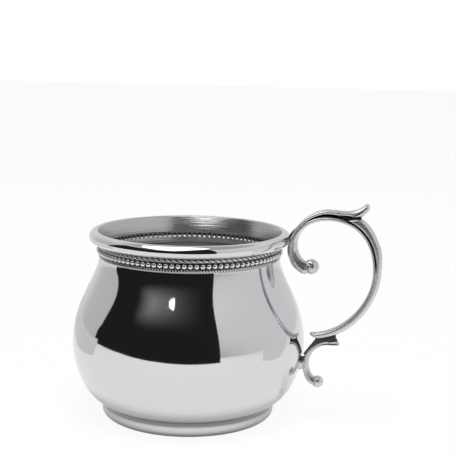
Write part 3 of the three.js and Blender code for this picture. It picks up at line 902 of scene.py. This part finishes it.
def shared(name, make, finish):
    """A material that several pieces have. It is made for the first of them."""
    return bpy.data.materials.get(name) or make(finish)


def from_axis(tree, stretch):
    """A link to places on the cup, measured from the foot of its axis and stretched."""
    shift = {"Location": (-AXIS_X * stretch[0], 0, 0), "Scale": stretch}
    place = add(tree, "TexCoord")
    return add(tree, "Mapping", shift, {"Vector": (place, "Object")}), "Vector"


def finish_metal(tree, clean, painted_shade, settings, links):
    """The metal's shader. Its colour goes from clean towards the dark colour of painted shade by
    each point's darkness attribute.
    """
    darkness = add(tree, "Attribute", {"attribute_name": "painted_shade"})
    colours = {"data_type": "RGBA", 6: (*clean, 1), 7: (*painted_shade, 1)}
    tint = add(tree, "Mix", colours, {0: (darkness, "Fac")})
    metal = add(tree, "BsdfPrincipled", settings, {**links, "Base Color": (tint, 2)})
    add(tree, "OutputMaterial", None, {"Surface": (metal, "BSDF")})


def polished_pewter(finish):
    """Spun pewter buffed on a mop. It mirrors its surroundings a little softly and shows faint
    buffing marks that run round the cup, 4 mm long and 0.6 mm high."""
    material, tree = new_material("buffed_pewter")
    sizes = {"Scale": 260, "Detail": 2}
    marks = add(tree, "TexNoise", sizes, {"Vector": from_axis(tree, (1, 1, 6))})
    levels = {"From Min": 0.3, "From Max": 0.7, "To Min": 0.03, "To Max": 0.07}
    gloss = add(tree, "MapRange", levels, {"Value": (marks, "Fac")})
    links = {"Roughness": (gloss, "Result")}
    finish_metal(tree, finish.polished, finish.painted_shade, {"Metallic": 1.0}, links)
    return material


def satin_pewter(finish):
    """Spun pewter inside, left with the fine rings of the spinning tool, a third of a millimetre
    apart. It blurs what it reflects up and down."""
    material, tree = new_material("satin_spun_pewter")
    sizes = {"Scale": 3000, "Detail": 1}
    rings = add(tree, "TexNoise", sizes, {"Vector": from_axis(tree, (0.04, 0.04, 1))})
    relief = {"Strength": 0.6, "Distance": 0.1 * MM}
    tilt = add(tree, "Bump", relief, {"Height": (rings, "Fac")})
    settings = {"Metallic": 0.88, "Roughness": 0.25}
    finish_metal(tree, finish.satin, finish.painted_shade, settings, {"Normal": (tilt, "Normal")})
    return material


def cast_pewter(finish):
    """Pewter cast in a mould and polished by hand, unevenly within about a millimetre, with painted
    shade in its grooves."""
    material, tree = new_material("cast_pewter_with_painted_shade")
    place = add(tree, "TexCoord")
    sizes = {"Scale": 900, "Detail": 2}
    hills = add(tree, "TexNoise", sizes, {"Vector": (place, "Object")})
    relief = {"Strength": 0.15, "Distance": 0.1 * MM}
    tilt = add(tree, "Bump", relief, {"Height": (hills, "Fac")})
    settings = {"Metallic": 1.0, "Roughness": 0.36}
    finish_metal(tree, finish.cast, finish.painted_shade, settings, {"Normal": (tilt, "Normal")})
    return material


def lit_cloth(name, strength):
    """White cloth, evenly lit from behind."""
    material, tree = new_material(name)
    light = add(tree, "Emission", {"Strength": strength})
    add(tree, "OutputMaterial", None, {"Surface": (light, "Emission")})
    return material


def tent_cloth():
    """White tent cloth, lit by the attribute brightness."""
    material, tree = new_material("tent_cloth")
    shade = add(tree, "Attribute", {"attribute_name": "brightness"})
    light = add(tree, "Emission", None, {"Strength": (shade, "Fac")})
    add(tree, "OutputMaterial", None, {"Surface": (light, "Emission")})
    return material


def dark_room():
    """The unlit room beyond the table, with a faint haze of light round one place. The haze falls
    from its middle by the square of what is left of the way to its edge."""
    material, tree = new_material("dark_room")
    tilted = {
        "vector_type": "TEXTURE",
        "Location": as_seen([(-0.24, -0.275, 0.292)])[0],
        "Rotation": (0, math.radians(15), 0),
        "Scale": (0.36, 0.36, 0.125),
    }
    place = add(tree, "Mapping", tilted, {"Vector": (add(tree, "TexCoord"), "Object")})
    ball = {"gradient_type": "QUADRATIC_SPHERE"}
    haze = add(tree, "TexGradient", ball, {"Vector": (place, "Vector")})
    level = add(tree, "MapRange", {"To Min": 0.015, "To Max": 0.3}, {"Value": (haze, "Fac")})
    light = add(tree, "Emission", None, {"Strength": (level, "Result")})
    add(tree, "OutputMaterial", None, {"Surface": (light, "Emission")})
    return material


def table_paper():
    """White background paper. The eye sees it near white under a faint shadow, and mirrors see it
    half shaded."""
    seen_white, mirrored_white = 0.93, 0.4
    material, tree = new_material("table_paper")
    rays = add(tree, "LightPath")
    either = {0: (rays, "Is Glossy Ray"), 1: (rays, "Is Transmission Ray")}
    mirrored = add(tree, "Math", {"operation": "MAXIMUM"}, either)
    times = {"operation": "MULTIPLY", 1: mirrored_white}
    shaded = add(tree, "Math", times, {0: (mirrored, 0)})
    times = {"operation": "MULTIPLY_ADD", 1: seen_white}
    share = add(tree, "Math", times, {0: (rays, "Is Camera Ray"), 2: (shaded, 0)})
    paper = add(tree, "BsdfDiffuse", {"Color": (1, 1, 1, 1)})
    white = add(tree, "Emission", {"Strength": 1.0})
    parts = {0: (share, 0), 1: (paper, "BSDF"), 2: (white, "Emission")}
    mixed = add(tree, "MixShader", None, parts)
    add(tree, "OutputMaterial", None, {"Surface": (mixed, "Shader")})
    return material


# The stage. The frame is turned by this much from the photograph's view.
VIEW_TURN = math.radians(14)

# Brightness of the tent's cloth at the table, by degrees to the right of the camera.
TENT_LEFT = (-180, 0.74), (-150, 0.8), (-130, 0.62), (-100, 0.6), (0, 0.4)
TENT_RIGHT = (30, 0.52), (45, 0.62), (60, 0.71), (100, 0.76), (180, 0.74)
TENT_LOW_RIGHT = 0.757
TENT_TOP = 0.45
TENT_RADIUS = 1.1

# The dark room: how far it reaches to the left and right and up, and the rear edge of its left
# wall, to the back and up.
DARK_FROM, DARK_TO, DARK_HEIGHT = -0.65, 0.148, 0.6
DARK_REAR = ((0.122, 0), (0.105, 0.09), (0.068, 0.15), (0.03, 0.3), (0.022, DARK_HEIGHT))

# Places on the table to the right and to the back of the cup's axis, in millimetres: the part
# that lies in the dark, the softbox over the table, and the folds of cloth on both sides.
DARK_EDGE = (-420, 70), (-420, -25), (-345, -150), (-200, -192), (-100, -211), (110, -207)
DARK_FLOOR = (148, -275), (-650, -275), (-650, 122), *DARK_EDGE
SOFTBOX_LEFT = (-50, 10), (-92, -56), (-90, -132), (-70, -151), (-66, -161)
SOFTBOX = (-52, -169), (22, -72), (28, -40), (0, 12), *SOFTBOX_LEFT
LEFT_CLOTH = (-330, 22), (-118, 2), (-108, 8), (-97, 40), (-95, 118), (-75, 180)
RIGHT_CLOTH = (129, -56), (122, -30), (126, -8), (178, 18), (260, 60)
CLOTH_HEIGHT = 26 * MM


def as_seen(corners):
    """Points given as the camera sees them, to the right, to the back and up from the foot of the
    cup's axis, in the frame."""
    right, back, up = np.array(corners, float).T
    cosine, sine = math.cos(VIEW_TURN), math.sin(VIEW_TURN)
    return in_frame(right * cosine - back * sine, right * sine + back * cosine, up).tolist()


def round_cup(distance, azimuth, height):
    """Points round the cup, azimuth in degrees to the right of the camera."""
    angle = np.radians(azimuth - 90) + VIEW_TURN
    return in_frame(distance * np.cos(angle), distance * np.sin(angle), height)


def hide_but_mirrored(panel):
    """Only mirrors see a panel of the studio. The table and the eye don't."""
    panel.visible_camera = False
    panel.visible_diffuse = False
    panel.visible_shadow = False
    panel.visible_transmission = False


def stage_wall(name, material, corners, faces=None):
    """Flat cloths that only mirrors see. Without faces, the corners go round one cloth."""
    mesh = bpy.data.meshes.new(name)
    mesh.from_pydata(as_seen(corners), [], faces or [tuple(range(len(corners)))])
    mesh.materials.append(material)
    hide_but_mirrored(new_object(name, mesh))


def level_cloth(name, material, outline, height):
    """A level cloth over the table, its outline in millimetres."""
    stage_wall(name, material, [(x * MM, y * MM, height) for x, y in outline])


def low_screen(name, strength, line):
    """A fold of cloth that stands along a line on the table, given in millimetres."""
    foot = [(x * MM, y * MM, 0) for x, y in line]
    top = [(x, y, CLOTH_HEIGHT) for x, y, _ in foot]
    count = len(line)
    faces = [(k, k + 1, count + k + 1, count + k) for k in range(count - 1)]
    stage_wall(name, lit_cloth(name, strength), foot + top, faces)


def build_table():
    """White paper that runs on past the picture."""
    far = 4.0
    mesh = bpy.data.meshes.new("table")
    corners = [(-far, -far, 0), (far, -far, 0), (far, far, 0), (-far, far, 0)]
    mesh.from_pydata(corners, [], [range(4)])
    mesh.materials.append(table_paper())
    new_object("table", mesh)


def build_tent():
    """The white tent round the table, a dome that is darker at the sides and overhead. Its
    brightness at the table goes by azimuth. On the right it nears TENT_LOW_RIGHT up to 20
    degrees, everywhere it nears 1 from 25 to 65 degrees, and over 42 to 58 degrees it falls to
    TENT_TOP."""
    azimuth, rise = np.meshgrid(np.linspace(-180, 180, 145)[:-1], np.linspace(-6, 90, 49)[:-1])
    bright = np.interp(azimuth, *zip(*TENT_LEFT, *TENT_RIGHT))
    on_right = np.clip(rise / 20, 0, 1) * (np.abs(azimuth - 60) < 60)
    bright += (np.maximum(bright, TENT_LOW_RIGHT) - bright) * on_right
    bright += (1 - bright) * smooth((rise - 25) / 40)
    bright += (TENT_TOP - bright) * smooth((rise - 42) / 16)
    level = TENT_RADIUS * np.cos(np.radians(rise))
    raised = TENT_RADIUS * np.sin(np.radians(rise))
    points, faces, _ = skin([*round_cup(level, azimuth, raised), pole(0, 0, TENT_RADIUS)])
    values = np.append(bright.ravel(), TENT_TOP)
    mesh = new_mesh("tent", points, faces, "brightness", values)
    mesh.materials.append(tent_cloth())
    hide_but_mirrored(new_object("tent", mesh))


def build_cloths(front):
    """What the cup mirrors: the dark room in front and on the left, the softbox, and the folds of
    cloth on both sides."""
    dark = dark_room()
    ends = [(DARK_FROM, 0), (DARK_TO, 0), (DARK_TO, DARK_HEIGHT), (DARK_FROM, DARK_HEIGHT)]
    stage_wall("dark_front", dark, [(right, front, up) for right, up in ends])
    side = [*DARK_REAR, (front, DARK_HEIGHT), (front, 0)]
    stage_wall("dark_left", dark, [(DARK_FROM, back, up) for back, up in side])
    level_cloth("dark_floor", dark, DARK_FLOOR, 0.5 * MM)
    level_cloth("softbox", lit_cloth("softbox", 2.4), SOFTBOX, 150 * MM)
    low_screen("left_cloth", 0.72, LEFT_CLOTH)
    low_screen("right_cloth", 0.75, RIGHT_CLOTH)


def build_light(power):
    """A white world, dimmer for the paper than for mirrors, and a bank of lamps overhead that
    casts the cup's soft shadow."""
    world = bpy.data.worlds.new("white_tent")
    bpy.context.scene.world = world
    world.use_nodes = True
    tree = world.node_tree
    tree.nodes.clear()
    rays = add(tree, "LightPath")
    levels = {"To Min": 1.0, "To Max": 0.4}
    level = add(tree, "MapRange", levels, {"Value": (rays, "Is Diffuse Ray")})
    white = {"Color": (1, 1, 1, 1)}
    background = add(tree, "Background", white, {"Strength": (level, "Result")})
    add(tree, "OutputWorld", None, {"Surface": (background, "Background")})

    bank = bpy.data.lights.new("overhead_bank", "AREA")
    bank.shape = "DISK"
    bank.size = 0.4
    bank.energy = power
    lamp = new_object("overhead_bank", bank)
    lamp.location = round_cup(distance=0.25, azimuth=0, height=0.95)
    point_at(lamp, Vector((AXIS_X, 0, 0)))
    lamp.visible_glossy = False


def build_camera(stage):
    """The camera at the photograph's angle, and the plain view transform."""
    axis = Vector((AXIS_X, 0, 0))
    data = bpy.data.cameras.new("camera")
    data.lens = stage.lens
    data.sensor_width = 36
    camera = new_object("camera", data)
    camera.location = axis + Vector(stage.camera_place)
    point_at(camera, axis + Vector(stage.camera_aim), stage.camera_roll)
    bpy.context.scene.camera = camera
    bpy.context.scene.view_settings.view_transform = "Standard"


def point_at(thing, aim, roll=0):
    """Turns a lamp or a camera towards a point, and about its own line of sight."""
    thing.rotation_mode = "QUATERNION"
    facing = (aim - thing.location).to_track_quat("-Z", "Y")
    thing.rotation_quaternion = facing @ Quaternion((0, 0, 1), roll)


# Operators.
class CUP_OT_bowl(bpy.types.Operator):
    """Makes the bowl with its bead border and rolled lip."""

    bl_idname = "cup.add_bowl"
    bl_label = "Add Bowl"

    def execute(self, context):
        cup = context.scene.baby_cup
        shell, satin_from = bowl_shell(cup.bowl)
        outside = shared("buffed_pewter", polished_pewter, cup.finish)
        materials = [outside, satin_pewter(cup.finish)]
        dress("bowl", [shell], materials, satin_from)
        return {"FINISHED"}


class CUP_OT_foot(bpy.types.Operator):
    """Makes the foot ring."""

    bl_idname = "cup.add_foot_ring"
    bl_label = "Add Foot Ring"

    def execute(self, context):
        cup = context.scene.baby_cup
        material = shared("buffed_pewter", polished_pewter, cup.finish)
        dress("foot_ring", [foot_shell(cup.foot, cup.bowl)], [material])
        return {"FINISHED"}


def dress_scroll(node, shells, cup):
    """One casting of the handle."""
    material = shared("cast_pewter_with_painted_shade", cast_pewter, cup.finish)
    dress(node, shells(cup.bowl, cup.handle), [material])


class CUP_OT_main_scroll(bpy.types.Operator):
    """Makes the large scroll of the handle."""

    bl_idname = "cup.add_main_scroll"
    bl_label = "Add Main Scroll"

    def execute(self, context):
        dress_scroll("main_scroll", main_scroll_shells, context.scene.baby_cup)
        return {"FINISHED"}


class CUP_OT_thumb_scroll(bpy.types.Operator):
    """Makes the outer strip with the thumb tip."""

    bl_idname = "cup.add_thumb_scroll"
    bl_label = "Add Thumb Scroll"

    def execute(self, context):
        dress_scroll("thumb_scroll", thumb_scroll_shells, context.scene.baby_cup)
        return {"FINISHED"}


class CUP_OT_lower_scroll(bpy.types.Operator):
    """Makes the small scroll that is soldered to the belly."""

    bl_idname = "cup.add_lower_scroll"
    bl_label = "Add Lower Scroll"

    def execute(self, context):
        dress_scroll("lower_scroll", lower_scroll_shells, context.scene.baby_cup)
        return {"FINISHED"}


class CUP_OT_stage(bpy.types.Operator):
    """Makes the table, the studio's cloths, the light and the camera."""

    bl_idname = "cup.add_stage"
    bl_label = "Add Stage"

    def execute(self, context):
        stage = context.scene.baby_cup.stage
        build_table()
        build_tent()
        build_cloths(-stage.table_edge)
        build_light(stage.bank_power)
        build_camera(stage)
        return {"FINISHED"}


class CUP_PT_sidebar(bpy.types.Panel):
    """Lists the pieces and their settings."""

    bl_label = "Baby Cup"
    bl_idname = "CUP_PT_sidebar"
    bl_space_type = "VIEW_3D"
    bl_region_type = "UI"
    bl_category = "Baby Cup"

    def draw(self, context):
        cup = context.scene.baby_cup
        for group in (cup.bowl, cup.foot, cup.handle, cup.finish, cup.stage):
            box = self.layout.box()
            for name in group.__annotations__:
                box.prop(group, name)
        for operator in OPERATORS:
            self.layout.operator(operator.bl_idname)


SIZES = BowlSettings, FootSettings, HandleSettings
SETTINGS = *SIZES, FinishSettings, StageSettings, CupSettings
SCROLLS = CUP_OT_main_scroll, CUP_OT_thumb_scroll, CUP_OT_lower_scroll
OPERATORS = CUP_OT_bowl, CUP_OT_foot, *SCROLLS, CUP_OT_stage


def register():
    for kind in (*SETTINGS, *OPERATORS, CUP_PT_sidebar):
        bpy.utils.register_class(kind)
    bpy.types.Scene.baby_cup = PointerProperty(type=CupSettings)


def unregister():
    del bpy.types.Scene.baby_cup
    for kind in reversed((*SETTINGS, *OPERATORS, CUP_PT_sidebar)):
        bpy.utils.unregister_class(kind)


def main():
    register()
    bpy.ops.cup.add_bowl()
    bpy.ops.cup.add_foot_ring()
    bpy.ops.cup.add_main_scroll()
    bpy.ops.cup.add_thumb_scroll()
    bpy.ops.cup.add_lower_scroll()
    bpy.ops.cup.add_stage()


if __name__ == "__main__":
    main()
